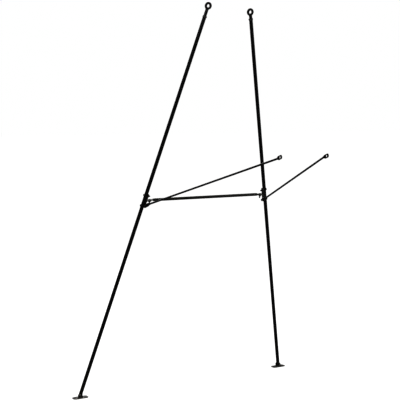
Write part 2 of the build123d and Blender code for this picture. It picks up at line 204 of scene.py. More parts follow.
def flatEnd(end):
    # Every point of the outline is joined to the hole's rim by one closed profile: the edge's
    # bend, the bottom face, the hole's wall and the top face.
    half = end["thick"] / 2
    inset, high, worn = edgeBend(end["edge"], half)
    if end.get("seam"):  # the line where a pressed tube's two walls meet
        mid = len(inset) // 2
        inset = np.insert(inset, mid, [0.0, end["seam"], 0.0])
        high = np.insert(high, mid, [end["seam"], 0.0, -end["seam"]])
        worn = np.insert(worn, mid, [0.6, 0.0, 0.6])
    rings = [endOutline(end, i) for i in inset]
    heights, wears = list(high), list(worn)
    toHole = endOutline(end, 0.0)
    toHole = toHole / np.linalg.norm(toHole, axis=1, keepdims=True)
    rimInset, rimHigh, rimWorn = edgeBend(end["rim"], half, 3)
    rimRadius = end["hole"] + rimInset
    flatMargin = 0.8  # a ring of faces this wide keeps the shading of the edges off the flat
    near = endOutline(end, end["edge"] + flatMargin)
    nearRim = toHole * (rimRadius[0] + flatMargin)
    faceRings = [near, (near + nearRim) / 2, nearRim]
    rings += faceRings + [toHole * r for r in rimRadius[::-1]] + faceRings[::-1]
    heights += [-half] * 3 + list(rimHigh[::-1]) + [half] * 3
    wears += [0.0] * 3 + list(0.8 * rimWorn) + [0.0] * 3
    count = len(toHole)
    layers = [join([ring, np.full((count, 1), z)], 1) for ring, z in zip(rings, heights)]
    local = np.stack(layers, 1)
    wear = np.broadcast_to(np.array(wears), local.shape[:2])
    return local, wear, len(inset)


def endShell(end):
    # The flat end without the wall across its reach, where the rest of the piece joins it.
    local, wear, bend = flatEnd(end)
    shell = gridShell(placePoints(end["basis"], local), wear, closeRows=True)
    rows, columns = local.shape[:2]
    row, column = np.divmod(np.arange(rows * columns), columns)
    joinWall = (row < outlineSteps["across"] - 1) & (column < bend - 1)
    shell["quads"] = shell["quads"][~joinWall]
    return shell


def joinLoop(end):
    # The ring of points, as y and z, where a flat end meets what is behind it.
    local, wear, bend = flatEnd(end)
    steps = outlineSteps["across"]
    top = local[:steps, 0]
    right = local[steps - 1, 1:bend]
    bottom = local[: steps - 1, bend - 1][::-1]
    left = local[0, 1 : bend - 1][::-1]
    wornSides = wear[steps - 1, 1:bend], wear[0, 1 : bend - 1][::-1]
    worn = join([np.zeros(steps), wornSides[0], np.zeros(steps - 1), wornSides[1]])
    return join([top, right, bottom, left])[:, 1:], worn


def roundLoop(loop, end, radius):  # the same points moved out to a circle, each at its own angle
    angle = np.arctan2(loop[:, 1] / (end["thick"] / 2), loop[:, 0] / (end["width"] / 2))
    return radius * np.stack([np.cos(angle), np.sin(angle)], -1)


def easeInOut(t):
    return t * t * (3 - 2 * t)


def sectionRows(centres, yAxes, zAxes, loops):
    # A closed section carried along a path: one row for each centre, with its own two axes.
    across = loops[..., 0:1] * yAxes[:, None, :] + loops[..., 1:2] * zAxes[:, None, :]
    return centres[:, None, :] + mm * across


def rodBetween(first, last, radius):
    # Two flat ends drawn out of one round rod: the section goes from the flat end's outline to a
    # circle over the taper, and turns steadily along the rod where the two ends aren't in line.
    share = np.linspace(0, 1, 15)
    weight = easeInOut(share)[:, None, None]
    rodStart = placePoints(first["basis"], np.array([first["reach"] + first["taper"], 0, 0]))
    rodEnd = placePoints(last["basis"], np.array([last["reach"] + last["taper"], 0, 0]))
    line = unit(rodEnd - rodStart)
    stretches, axesAt, wears = [], [], []
    for end, sign in ((first, 1), (last, -1)):
        loop, worn = joinLoop(end)
        y0, z0 = sign * end["basis"]["y"], end["basis"]["z"]
        y1 = squareTo(y0, line)
        z1 = np.cross(line, y1)
        mix = easeInOut(share)[:, None]
        ys, zs = y0 * (1 - mix) + y1 * mix, z0 * (1 - mix) + z1 * mix
        start = placePoints(end["basis"], np.array([end["reach"], 0, 0]))
        stop = placePoints(end["basis"], np.array([end["reach"] + end["taper"], 0, 0]))
        centres = start + (stop - start) * share[:, None]
        loops = loop * (1 - weight) + roundLoop(loop, end, radius) * weight
        stretches.append(sectionRows(centres, ys, zs, loops))
        axesAt.append((y1, z1))
        wears.append(worn[None, :] * (1 - easeInOut(share))[:, None])
    (yA, zA), yB = axesAt[0], axesAt[1][0]
    turn = np.arctan2(np.dot(yB, zA), np.dot(yB, yA))
    steps = np.linspace(0, 1, 41)[1:-1]
    cosine, sine = np.cos(turn * steps)[:, None], np.sin(turn * steps)[:, None]
    loop, worn = joinLoop(first)
    circle = roundLoop(loop, first, radius)
    middle = sectionRows(
        rodStart + (rodEnd - rodStart) * steps[:, None],
        yA * cosine + zA * sine, zA * cosine - yA * sine,
        np.broadcast_to(circle, (len(steps),) + circle.shape),
    )
    points = join([stretches[0], middle, stretches[1][::-1]])
    wear = join([wears[0], np.zeros(middle.shape[:2]), wears[1][::-1]])
    return gridShell(points, wear)


def stripBetween(first, last):  # a flat strip of one section between two flat ends
    rows = []
    for end, sign in ((first, 1), (last, -1)):
        loop, worn = joinLoop(end)
        start = placePoints(end["basis"], np.array([end["reach"], 0, 0]))
        rows.append(start + mm * (sign * loop[:, 0:1] * end["basis"]["y"] + loop[:, 1:2] * end["basis"]["z"]))
    return gridShell(np.stack(rows), worn[None, :])


def stripRoot(end, length, flare):
    # A flat end's strip carried on to its root, where it swells like a fillet: the swelling grows
    # with the cube of the way along.
    loop, worn = joinLoop(end)
    share = np.linspace(0, 1, 9)
    grow = 1 + flare * share[:, None] ** 3
    along = end["reach"] + length * share
    z = loop[None, :, 1] * grow
    x = np.broadcast_to(along[:, None], z.shape)
    local = np.stack([x, np.broadcast_to(loop[None, :, 0], z.shape), z], -1)
    return gridShell(placePoints(end["basis"], local), worn[None, :] * np.ones((9, 1)), caps=(False, True))


def turnedShell(basis, along, radius, wear, caps=(True, True), closeRows=False, columns=48):
    # A turned surface: radius is a number for each place along the axis, or one for each angle too.
    angle = np.linspace(0, 2 * np.pi, columns, endpoint=False)[None, :]
    radius = np.asarray(radius, float)
    radius = np.broadcast_to(radius if radius.ndim == 2 else radius[:, None], (len(along), columns))
    z = np.broadcast_to(np.asarray(along, float)[:, None], radius.shape)
    local = np.stack([radius * np.cos(angle), radius * np.sin(angle), z], -1)
    wear = np.asarray(wear, float)
    wear = wear if wear.ndim == 2 else wear[:, None]
    return gridShell(placePoints(basis, local), wear, closeRows=closeRows, caps=caps)


def hexRadius(flats, columns=48):  # how far a hexagon's side is from its middle, at each angle
    angle = np.linspace(0, 2 * np.pi, columns, endpoint=False)
    return flats / 2 / np.cos((angle + np.pi / 6) % (np.pi / 3) - np.pi / 6)


threadForm = {"depth": 0.61, "slope": 1.35, "flat": 0.12}  # depth is a share of the pitch


def threadRadius(along, crest, pitch, columns=48):
    # A screw thread: a flat-topped triangle wave of the way along less one pitch for each turn.
    turn = np.linspace(0, 1, columns, endpoint=False)[None, :]
    wave = np.abs(((along[:, None] / pitch - turn) % 1) * 2 - 1)
    depth = threadForm["depth"] * pitch
    return crest - depth * np.clip(threadForm["slope"] * wave - threadForm["flat"], 0, 1)


screwSizes = {
    "radius": 3.0, "pitch": 1.0, "flats": 10.0, "headHeight": 3.0, "nutHeight": 5.0,
    "faceRadius": 4.75, "chamferSlope": 1.73, "legBoltLength": 30.0, "legThreadLength": 18.0,
    "barBoltLength": 20.0, "barThreadLength": 15.0, "crestGap": 0.02, "underHead": 0.35,
    "point": 0.75, "pointSlope": 0.95, "nutBore": 2.92, "countersink": 3.3,
    "countersinkDepth": 0.45, "washerRadius": 6.0, "washerBore": 3.2, "washerEdge": 0.18,
}


def hexSide(top, bottom, columns=48):
    # A hexagon's wall between two heights, cut back at both ends by a cone from the round face.
    flats = hexRadius(screwSizes["flats"])
    depth = (flats.max() - screwSizes["faceRadius"]) / screwSizes["chamferSlope"]
    near = np.linspace(0, depth, 5)
    cone = screwSizes["faceRadius"] + near * screwSizes["chamferSlope"]
    along = join([top + near, bottom - near[::-1]])
    radius = np.minimum(flats[None, :], join([cone, cone[::-1]])[:, None])
    corner = np.clip((flats - 5.2) / 0.55, 0, 1)[None, :]
    rim = join([1 - near / depth, near / depth])[:, None]
    return along, radius, np.clip(corner + 0.9 * np.maximum(rim, 0), 0, 1)


def boltShell(basis, length, threadLength):
    # The head stands behind the basis and the shank runs along it, threaded to its far end.
    size = screwSizes
    side, sideRadius, sideWear = hexSide(-size["headHeight"], 0.0)
    flat = np.full(sideRadius.shape[1], size["faceRadius"])
    threadStart = length - threadLength
    crest = size["radius"] - size["crestGap"]
    along = np.arange(threadStart, length + 1e-6, size["pitch"] / 9)
    thread = threadRadius(along, crest, size["pitch"])
    fade = np.clip((along - threadStart) / size["pitch"], 0, 1)[:, None]
    pastPoint = np.clip(along - (length - size["point"]), 0, None)
    point = (crest - pastPoint * size["pointSlope"])[:, None]
    thread = np.minimum(crest - (crest - thread) * fade, point)
    ones = np.ones_like(flat)
    underHead = np.stack([ones * (crest + size["underHead"]), ones * crest])  # a cone into the head
    radius = join([(flat * 0.7)[None], sideRadius, underHead, thread])
    places = join([[-size["headHeight"]], side, [0.0, size["underHead"]], along])
    worn = np.clip(0.35 - 2 * (crest - thread), 0, 1)
    wear = join([0 * flat[None], sideWear, 0 * flat[None], 0 * flat[None], worn])
    return turnedShell(basis, places, radius, wear)


def nutShell(basis):  # stands on the basis; its bore is countersunk at both ends
    size = screwSizes
    side, sideRadius, sideWear = hexSide(0.0, size["nutHeight"])
    columns = sideRadius.shape[1]
    bore = np.array([size["countersink"], size["nutBore"], size["nutBore"], size["countersink"]])
    sunk = size["countersinkDepth"]
    places = join([side, [size["nutHeight"], size["nutHeight"] - sunk, sunk, 0.0]])
    radius = join([sideRadius, np.repeat(bore[:, None], columns, 1)])
    wear = join([sideWear, np.full((4, columns), 0.3)])
    return turnedShell(basis, places, radius, wear, caps=(False, False), closeRows=True)


def washerShell(basis):
    size = screwSizes
    edge, thick = size["washerEdge"], layout["washerThick"]
    places = [0, 0, edge, thick - edge, thick, thick, thick - edge, edge]
    outer, inner = size["washerRadius"], size["washerBore"]
    radius = [inner + edge, outer - edge, outer, outer, outer - edge, inner + edge, inner, inner]
    wear = [0, 0.8, 1, 1, 0.8, 0, 0.3, 0.3]
    return turnedShell(basis, places, radius, wear, caps=(False, False), closeRows=True)


print("shape functions ready")


def newNode(tree, kind, **values):  # adds a node and sets its properties
    node = tree.nodes.new(kind)
    for key, value in values.items():
        setattr(node, key, value)
    return node


def mathNode(tree, operation, a, b=None, clamp=False):
    node = newNode(tree, "ShaderNodeMath", operation=operation, use_clamp=clamp)
    for socket, value in zip(node.inputs, (a, b)):
        if value is None:
            continue
        if isinstance(value, (int, float)):
            socket.default_value = value
        else:
            tree.links.new(value, socket)
    return node.outputs[0]


def times(tree, a, b, clamp=False):
    return mathNode(tree, "MULTIPLY", a, b, clamp)


def plus(tree, a, b, clamp=False):
    return mathNode(tree, "ADD", a, b, clamp)


def rampNode(tree, value, low, high):  # 0 below low, 1 above high, smooth between
    node = newNode(tree, "ShaderNodeMapRange", interpolation_type="SMOOTHSTEP")
    tree.links.new(value, node.inputs[0])
    node.inputs[1].default_value, node.inputs[2].default_value = low, high
    return node.outputs[0]


def noiseNode(tree, vector, scale, detail=3.0, stretch=None):
    if stretch:
        mapping = newNode(tree, "ShaderNodeMapping")
        mapping.inputs["Scale"].default_value = stretch
        tree.links.new(vector, mapping.inputs["Vector"])
        vector = mapping.outputs[0]
    node = newNode(tree, "ShaderNodeTexNoise")
    node.inputs["Scale"].default_value = scale
    node.inputs["Detail"].default_value = detail
    tree.links.new(vector, node.inputs["Vector"])
    return node.outputs["Fac"]


def mixColour(tree, share, a, b):
    node = newNode(tree, "ShaderNodeMix", data_type="RGBA")
    tree.links.new(share, node.inputs["Factor"])
    for name, value in ((6, a), (7, b)):
        if isinstance(value, tuple):
            node.inputs[name].default_value = (*value, 1)
        else:
            tree.links.new(value, node.inputs[name])
    return node.outputs[2]


def newGroup(name, vectors, numbers, outputs):  # numbers are given with their starting values
    tree = bpy.data.node_groups.new(name, "ShaderNodeTree")
    for label in vectors:
        tree.interface.new_socket(label, in_out="INPUT", socket_type="NodeSocketVector")
    for label, start in numbers.items():
        socket = tree.interface.new_socket(label, in_out="INPUT", socket_type="NodeSocketFloat")
        socket.default_value = start
    for label in outputs:
        tree.interface.new_socket(label, in_out="OUTPUT", socket_type="NodeSocketFloat")
    return tree, tree.nodes.new("NodeGroupInput").outputs, tree.nodes.new("NodeGroupOutput").inputs


def makeCoatGrain():
    # Powder coat: a soft orange peel about 1.5 mm across with a finer grain on it, and slow
    # changes of tone over a hand's width.
    tree, given, out = newGroup("coatGrain", ["Vector"], {"Peel": 1.0}, ["Height", "Tone"])
    peel = noiseNode(tree, given["Vector"], 620.0, 2.0)
    fine = noiseNode(tree, given["Vector"], 2600.0, 2.0)
    peel = times(tree, peel, given["Peel"])
    both = plus(tree, peel, times(tree, fine, 0.25))
    tree.links.new(both, out["Height"])
    tree.links.new(rampNode(tree, noiseNode(tree, given["Vector"], 14.0, 5.0), 0.3, 0.7), out["Tone"])
    return tree


def makeEdgeWear():
    # Worn edges: the piece's own wear value, broken up by coarse and fine noise.
    tree, given, out = newGroup("edgeWear", ["Vector"], {"Wear": 0.0, "Amount": 0.5}, ["Mask"])
    coarse = noiseNode(tree, given["Vector"], 160.0, 4.0)
    fine = noiseNode(tree, given["Vector"], 900.0, 3.0)
    coarse = times(tree, coarse, 0.7)
    chance = plus(tree, coarse, times(tree, fine, 0.5))
    level = times(tree, times(tree, chance, given["Wear"]), given["Amount"])
    tree.links.new(rampNode(tree, level, 0.24, 0.34), out["Mask"])
    return tree


def makeHairScratches():
    # Hair scratches: the thin lines where a stretched noise crosses its middle value, kept in patches.
    tree, given, out = newGroup("hairScratches", ["Vector"], {"Amount": 0.5}, ["Mask"])
    lines = []
    for stretch, scale in (((1.0, 1.0, 0.12), 300.0), ((0.15, 1.0, 1.0), 240.0)):
        wave = noiseNode(tree, given["Vector"], scale, 1.0, stretch)
        away = mathNode(tree, "ABSOLUTE", mathNode(tree, "SUBTRACT", wave, 0.5))
        lines.append(mathNode(tree, "SUBTRACT", 1.0, rampNode(tree, away, 0.002, 0.008)))
    patch = rampNode(tree, noiseNode(tree, given["Vector"], 33.0, 2.0), 0.52, 0.66)
    both = times(tree, mathNode(tree, "MAXIMUM", lines[0], lines[1]), patch)
    tree.links.new(times(tree, both, given["Amount"], clamp=True), out["Mask"])
    return tree


def makeSettledDust():
    # Dust: on what faces up, and more of it within a hand's height of the ground.
    tree, given, out = newGroup("settledDust", ["Vector", "Normal"], {"Amount": 0.5}, ["Mask"])
    place = newNode(tree, "ShaderNodeSeparateXYZ")
    tree.links.new(given["Vector"], place.inputs[0])
    facing = newNode(tree, "ShaderNodeSeparateXYZ")
    tree.links.new(given["Normal"], facing.inputs[0])
    low = mathNode(tree, "SUBTRACT", 1.0, rampNode(tree, place.outputs[2], 0.004, 0.11))
    upward = rampNode(tree, facing.outputs[2], 0.25, 1.0)
    cloud = rampNode(tree, noiseNode(tree, given["Vector"], 75.0, 6.0), 0.36, 0.74)
    low = times(tree, low, 0.8)
    share = plus(tree, low, times(tree, upward, 0.45))
    total = times(tree, times(tree, share, cloud), given["Amount"], clamp=True)
    tree.links.new(total, out["Mask"])
    return tree


groups = {
    "grain": makeCoatGrain(),
    "wear": makeEdgeWear(),
    "scratches": makeHairScratches(),
    "dust": makeSettledDust(),
}


def useGroup(tree, key, **values):
    node = newNode(tree, "ShaderNodeGroup", node_tree=groups[key])
    for label, value in values.items():
        if isinstance(value, (int, float)):
            node.inputs[label].default_value = value
        else:
            tree.links.new(value, node.inputs[label])
    return node.outputs


def startMaterial(name):
    material = bpy.data.materials.new(name)
    material.use_nodes = True
    tree = material.node_tree
    shader = next(n for n in tree.nodes if n.type == "BSDF_PRINCIPLED")
    where = newNode(tree, "ShaderNodeTexCoord")
    wear = newNode(tree, "ShaderNodeAttribute", attribute_name="wear")
    return material, tree, shader, where, wear.outputs["Fac"]


def paintedSteel(name, look):
    # Powder coat over steel: the coat's grain and tone, hair scratches, worn edges that show
    # bare steel, and dust.
    material, tree, shader, where, wear = startMaterial(name)
    place = where.outputs["Object"]
    grain = useGroup(tree, "grain", Vector=place, Peel=look["peel"])
    worn = useGroup(tree, "wear", Vector=place, Wear=wear, Amount=look["wear"])["Mask"]
    lines = useGroup(tree, "scratches", Vector=place, Amount=look["scratches"])["Mask"]
    dust = useGroup(tree, "dust", Vector=place, Normal=where.outputs["Normal"], Amount=look["dust"])["Mask"]
    colour = mixColour(tree, grain["Tone"], look["deep"], look["light"])
    colour = mixColour(tree, lines, colour, look["scratched"])
    colour = mixColour(tree, worn, colour, look["bare"])
    colour = mixColour(tree, dust, colour, look["dusty"])
    tree.links.new(colour, shader.inputs["Base Color"])
    tree.links.new(times(tree, worn, 0.9), shader.inputs["Metallic"])
    spread = times(tree, grain["Tone"], look["roughSpread"])
    rough = plus(tree, spread, look["rough"])
    dulled = times(tree, mathNode(tree, "MAXIMUM", lines, dust), 0.3)
    rough = plus(tree, rough, dulled)
    rough = plus(tree, rough, times(tree, worn, 0.08), clamp=True)
    tree.links.new(rough, shader.inputs["Roughness"])
    intact = mathNode(tree, "SUBTRACT", 1.0, mathNode(tree, "MAXIMUM", worn, dust))
    coat = times(tree, intact, look["coat"])
    tree.links.new(coat, shader.inputs["Coat Weight"])
    shader.inputs["Coat Roughness"].default_value = look["coatRough"]
    shader.inputs["Specular IOR Level"].default_value = look["gloss"]
    sunk = times(tree, mathNode(tree, "MAXIMUM", worn, lines), 0.8)
    height = mathNode(tree, "SUBTRACT", grain["Height"], sunk)
    bump = newNode(tree, "ShaderNodeBump")
    bump.inputs["Strength"].default_value = look["bump"]
    bump.inputs["Distance"].default_value = 0.00012
    tree.links.new(height, bump.inputs["Height"])
    tree.links.new(bump.outputs[0], shader.inputs["Normal"])
    return material


def platedSteel(name, look):
    # Zinc-plated or drawn steel: fine turning lines, cloudy plating, brighter rubbed corners.
    material, tree, shader, where, wear = startMaterial(name)
    place = where.outputs["Object"]
    rubbed = useGroup(tree, "wear", Vector=place, Wear=wear, Amount=look["wear"])["Mask"]
    dust = useGroup(tree, "dust", Vector=place, Normal=where.outputs["Normal"], Amount=look["dust"])["Mask"]
    cloud = rampNode(tree, noiseNode(tree, place, 240.0, 4.0), 0.32, 0.68)
    fine = noiseNode(tree, place, 1800.0, 3.0, look["stretch"])
    colour = mixColour(tree, cloud, look["deep"], look["light"])
    colour = mixColour(tree, rubbed, colour, look["bare"])
    colour = mixColour(tree, dust, colour, look["dusty"])
    tree.links.new(colour, shader.inputs["Base Color"])
    metallic = mathNode(tree, "SUBTRACT", 1.0, times(tree, dust, 0.8))
    tree.links.new(metallic, shader.inputs["Metallic"])
    rough = plus(tree, times(tree, cloud, 0.14), look["rough"])
    rough = plus(tree, rough, times(tree, fine, 0.12))
    rough = plus(tree, rough, times(tree, dust, 0.3), clamp=True)
    tree.links.new(rough, shader.inputs["Roughness"])
    bump = newNode(tree, "ShaderNodeBump")
    bump.inputs["Strength"].default_value = look["bump"]
    bump.inputs["Distance"].default_value = 0.00008
    tree.links.new(fine, bump.inputs["Height"])
    tree.links.new(bump.outputs[0], shader.inputs["Normal"])
    return material


legPaint = paintedSteel("legPaint", {
    "deep": (0.0035, 0.0035, 0.0036), "light": (0.0075, 0.0075, 0.0072), "scratched": (0.035, 0.035, 0.033),
    "bare": (0.32, 0.31, 0.29), "dusty": (0.16, 0.15, 0.13), "rough": 0.26, "roughSpread": 0.08,
    "coat": 0.15, "coatRough": 0.2, "gloss": 0.3, "peel": 1.0, "bump": 0.35,
    "wear": 0.55, "scratches": 0.45, "dust": 0.3,
})
eyePaint = paintedSteel("eyePaint", {
    "deep": (0.0035, 0.0035, 0.0036), "light": (0.009, 0.009, 0.0085), "scratched": (0.05, 0.05, 0.047),
    "bare": (0.36, 0.35, 0.33), "dusty": (0.16, 0.15, 0.13), "rough": 0.3, "roughSpread": 0.1,
    "coat": 0.15, "coatRough": 0.22, "gloss": 0.35, "peel": 1.5, "bump": 0.6,
    "wear": 0.85, "scratches": 0.6, "dust": 0.25,
})
stayPaint = paintedSteel("stayPaint", {
    "deep": (0.004, 0.004, 0.004), "light": (0.010, 0.010, 0.0095), "scratched": (0.05, 0.05, 0.047),
    "bare": (0.38, 0.37, 0.35), "dusty": (0.17, 0.16, 0.14), "rough": 0.3, "roughSpread": 0.1,
    "coat": 0.15, "coatRough": 0.22, "gloss": 0.3, "peel": 1.1, "bump": 0.45,
    "wear": 0.8, "scratches": 0.7, "dust": 0.3,
})
barPaint = paintedSteel("barPaint", {
    "deep": (0.012, 0.013, 0.009), "light": (0.024, 0.026, 0.019), "scratched": (0.08, 0.08, 0.07),
    "bare": (0.36, 0.36, 0.32), "dusty": (0.18, 0.17, 0.14), "rough": 0.33, "roughSpread": 0.1,
    "coat": 0.15, "coatRough": 0.25, "gloss": 0.35, "peel": 1.0, "bump": 0.45,
    "wear": 0.7, "scratches": 0.6, "dust": 0.4,
})
bracketPaint = paintedSteel("bracketPaint", {
    "deep": (0.014, 0.015, 0.011), "light": (0.028, 0.029, 0.022), "scratched": (0.09, 0.09, 0.08),
    "bare": (0.38, 0.37, 0.34), "dusty": (0.18, 0.17, 0.14), "rough": 0.36, "roughSpread": 0.1,
    "coat": 0.12, "coatRough": 0.28, "gloss": 0.35, "peel": 1.3, "bump": 0.55,
    "wear": 0.9, "scratches": 0.8, "dust": 0.35,
})
footPaint = paintedSteel("footPaint", {
    "deep": (0.010, 0.010, 0.010), "light": (0.026, 0.026, 0.025), "scratched": (0.16, 0.155, 0.145),
    "bare": (0.42, 0.41, 0.39), "dusty": (0.24, 0.225, 0.195), "rough": 0.34, "roughSpread": 0.14,
    "coat": 0.12, "coatRough": 0.28, "gloss": 0.4, "peel": 1.2, "bump": 0.6,
    "wear": 1.15, "scratches": 1.0, "dust": 0.75,
})
darkZinc = platedSteel("darkZinc", {
    "deep": (0.045, 0.045, 0.05), "light": (0.105, 0.10, 0.095), "bare": (0.45, 0.44, 0.42),
    "dusty": (0.2, 0.19, 0.16), "rough": 0.27, "stretch": (1.0, 1.0, 0.3),
    "bump": 0.25, "wear": 0.8, "dust": 0.2,
})
paleZinc = platedSteel("paleZinc", {
    "deep": (0.32, 0.33, 0.35), "light": (0.55, 0.55, 0.53), "bare": (0.66, 0.66, 0.64),
    "dusty": (0.3, 0.28, 0.25), "rough": 0.24, "stretch": (1.0, 1.0, 0.3),
    "bump": 0.3, "wear": 0.7, "dust": 0.2,
})
drawnSteel = platedSteel("drawnSteel", {
    "deep": (0.28, 0.28, 0.29), "light": (0.46, 0.45, 0.44), "bare": (0.55, 0.55, 0.54),
    "dusty": (0.3, 0.28, 0.25), "rough": 0.32, "stretch": (1.0, 1.0, 0.04),
    "bump": 0.4, "wear": 0.5, "dust": 0.1,
})
print("materials ready,", len(bpy.data.materials), "in all")


def usePaint(node, material):  # a CAD node keeps its mesh and takes a better finish
    slots = frame["nodes"][node].material_slots
    for slot in slots:
        slot.material = material


for name in sides:
    usePaint(f"{name}_lower_leg", legPaint)
    usePaint(f"{name}_upper_leg", legPaint)
    usePaint(f"{name}_leg_spigot", drawnSteel)
print("legs finished")

eyeSizes = {
    "ringInner": 7.0, "ringOuter": 16.5, "ringHalfThick": 5.0, "squareness": 2.7,
    "stemRadius": 6.75, "stemLength": 90.0, "neckTop": 10.5, "neckBottom": 24.0,
    "neckHalfWidth": 9.4, "neckHalfThick": 4.6, "stemChamfer": 0.8, "voxel": 0.5,
    "showing": {"left": 45.0, "right": 28.0},
}


def ringEyeShells(leg):
    # The ring is a torus whose section is a superellipse; the neck's half width grows from the
    # stem's radius with the 2.2nd power of the way up, so that it runs into the ring like a fillet.
    size = eyeSizes
    around = np.linspace(0, 2 * np.pi, 96, endpoint=False)[:, None]
    section = np.linspace(0, 2 * np.pi, 40, endpoint=False)[None, :]
    power = 2 / size["squareness"]
    out = np.sign(np.cos(section)) * np.abs(np.cos(section)) ** power
    high = np.sign(np.sin(section)) * np.abs(np.sin(section)) ** power
    radius = (size["ringInner"] + size["ringOuter"]) / 2 + (size["ringOuter"] - size["ringInner"]) / 2 * out
    thick = size["ringHalfThick"] * high + 0 * around
    local = np.stack([radius * np.cos(around), radius * np.sin(around), thick], -1)
    ringBasis = makeBasis(leg["ring"], leg["back"], leg["up"])
    ring = gridShell(placePoints(ringBasis, local), 0.0, closeRows=True)
    stem = [30.0, 50.0, size["stemLength"] - 1.0, size["stemLength"]]
    down = join([np.linspace(size["neckTop"], size["neckBottom"], 22), stem])
    share = np.clip((size["neckBottom"] - down) / (size["neckBottom"] - size["neckTop"]), 0, 1)
    wide = size["stemRadius"] + (size["neckHalfWidth"] - size["stemRadius"]) * share ** 2.2
    deep = size["stemRadius"] + (size["neckHalfThick"] - size["stemRadius"]) * easeInOut(share)
    wide[-1] -= size["stemChamfer"]
    deep[-1] -= size["stemChamfer"]
    angle = np.linspace(0, 2 * np.pi, 56, endpoint=False)[None, :]
    height = -down[:, None] + 0 * angle
    local = np.stack([wide[:, None] * np.cos(angle), deep[:, None] * np.sin(angle), height], -1)
    neckBasis = makeBasis(leg["ring"], leg["up"], leg["inwards"])
    neck = gridShell(placePoints(neckBasis, local), 0.0, caps=(True, True))
    return [ring, neck]


def fuseForged(piece, voxel, rounds):
    # Melts a piece's shells into one skin and softens the creases where they met.
    remesh = piece.modifiers.new("fuse", "REMESH")
    remesh.mode, remesh.voxel_size, remesh.use_smooth_shade = "VOXEL", voxel * mm, True
    soften = piece.modifiers.new("soften", "SMOOTH")
    soften.factor, soften.iterations = 0.5, rounds
    fused = bpy.data.meshes.new_from_object(piece.evaluated_get(bpy.context.evaluated_depsgraph_get()))
    piece.modifiers.clear()
    old = piece.data
    fused.materials.clear()
    fused.materials.append(old.materials[0])
    piece.data = fused
    bpy.data.meshes.remove(old)
    fused.name = piece.name


def wearByPlace(piece, wearOf):  # writes the wear attribute from the places of the points
    mesh = piece.data
    places = np.empty(len(mesh.vertices) * 3)
    mesh.vertices.foreach_get("co", places)
    layer = mesh.attributes.get("wear") or mesh.attributes.new("wear", "FLOAT", "POINT")
    layer.data.foreach_set("value", wearOf(places.reshape(-1, 3)).astype(np.float32))


for name, leg in legs.items():
    shells = ringEyeShells(leg)
    eye = buildPiece(f"{name}RingEye", shells, f"{name}_eye", [f"{name}_ring_eye"], eyePaint)
    fuseForged(eye, eyeSizes["voxel"], 5)

    def boreWear(places, leg=leg):  # most worn just inside the bore, and a little round the outside
        away = (places - leg["ring"]) / mm
        flat = away - np.outer(away @ leg["back"], leg["back"])
        radius = np.linalg.norm(flat, axis=1)
        bore = np.clip(1.4 - np.abs(radius - eyeSizes["ringInner"]) / 1.3, 0, 1)
        rim = np.clip(1 - np.abs(radius - eyeSizes["ringOuter"]) / 1.5, 0, 1) * 0.55
        return np.maximum(bore, rim)

    wearByPlace(eye, boreWear)
print("ring eyes forged")

collarSizes = {
    "inner": 8.02, "outer": 9.0, "edge": 0.3,
    "grubFrom": 6.9, "grubTo": 10.6, "grubRadius": 2.5, "grubPitch": 0.8, "grubPoint": 0.4,
    "socket": 2.5, "socketDepth": 1.8, "socketMouth": 1.72,
}


def collarShell(leg, tubeTop):
    size = collarSizes
    length, edge = layout["collarLength"], size["edge"]
    basis = makeBasis(legPoint(leg, tubeTop - length), leg["up"], leg["inwards"])
    places = [0, 0, edge * 0.3, edge, length - edge, length - edge * 0.3, length, length]
    radius = [size["inner"], size["outer"] - edge, size["outer"] - edge * 0.3, size["outer"]]
    radius = radius + radius[::-1]
    worn = [0, 0.7, 1, 0.5, 0.5, 1, 0.7, 0]
    return turnedShell(basis, places, radius, worn, caps=(False, False), closeRows=True, columns=72)


def grubShell(leg, tubeTop):
    # A threaded pin with a hexagonal socket in its outer end.
    size = collarSizes
    station = tubeTop - layout["collarLength"] / 2
    basis = makeBasis(legPoint(leg, station, size["grubFrom"]), leg["inwards"], leg["up"])
    length = size["grubTo"] - size["grubFrom"]
    along = np.arange(0, length + 1e-6, 0.1)
    crest = size["grubRadius"] - screwSizes["crestGap"]
    point = crest - np.clip(along - (length - size["grubPoint"]), 0, None)
    thread = np.minimum(threadRadius(along, crest, size["grubPitch"]), point[:, None])
    socket = hexRadius(size["socket"])
    mouth = np.full_like(socket, size["socketMouth"])
    radius = join([thread, np.stack([mouth, socket * 1.05, socket * 0.97, socket * 0.97])])
    places = join([along, [length, length - 0.1, length - 0.3, length - size["socketDepth"]]])
    wear = join([np.clip(0.4 - 2 * (crest - thread), 0, 1), np.zeros((4, len(socket)))])
    wear[-4] = 0.6
    return turnedShell(basis, places, radius, wear)


for name, leg in legs.items():
    tubeTop = np.dot(leg["ring"] - leg["foot"], leg["up"]) / mm - eyeSizes["showing"][name]
    collar, grub = collarShell(leg, tubeTop), grubShell(leg, tubeTop)
    buildPiece(f"{name}Collar", [collar], "frame", [f"{name}_top_collar"], eyePaint)
    buildPiece(f"{name}GrubScrew", [grub], "frame", [f"{name}_grub_screw"], darkZinc)
print("collars and grub screws made")

staySizes = {
    "radius": 4.0, "width": 17.0, "thick": 3.0, "edge": 1.1, "rim": 0.35,
    "pivotHole": 3.07, "pivotReach": 26.0, "pivotTaper": 14.0,
    "eyeHole": 4.5, "eyeTip": 14.0, "eyeReach": 9.0, "eyeTaper": 12.0,
}


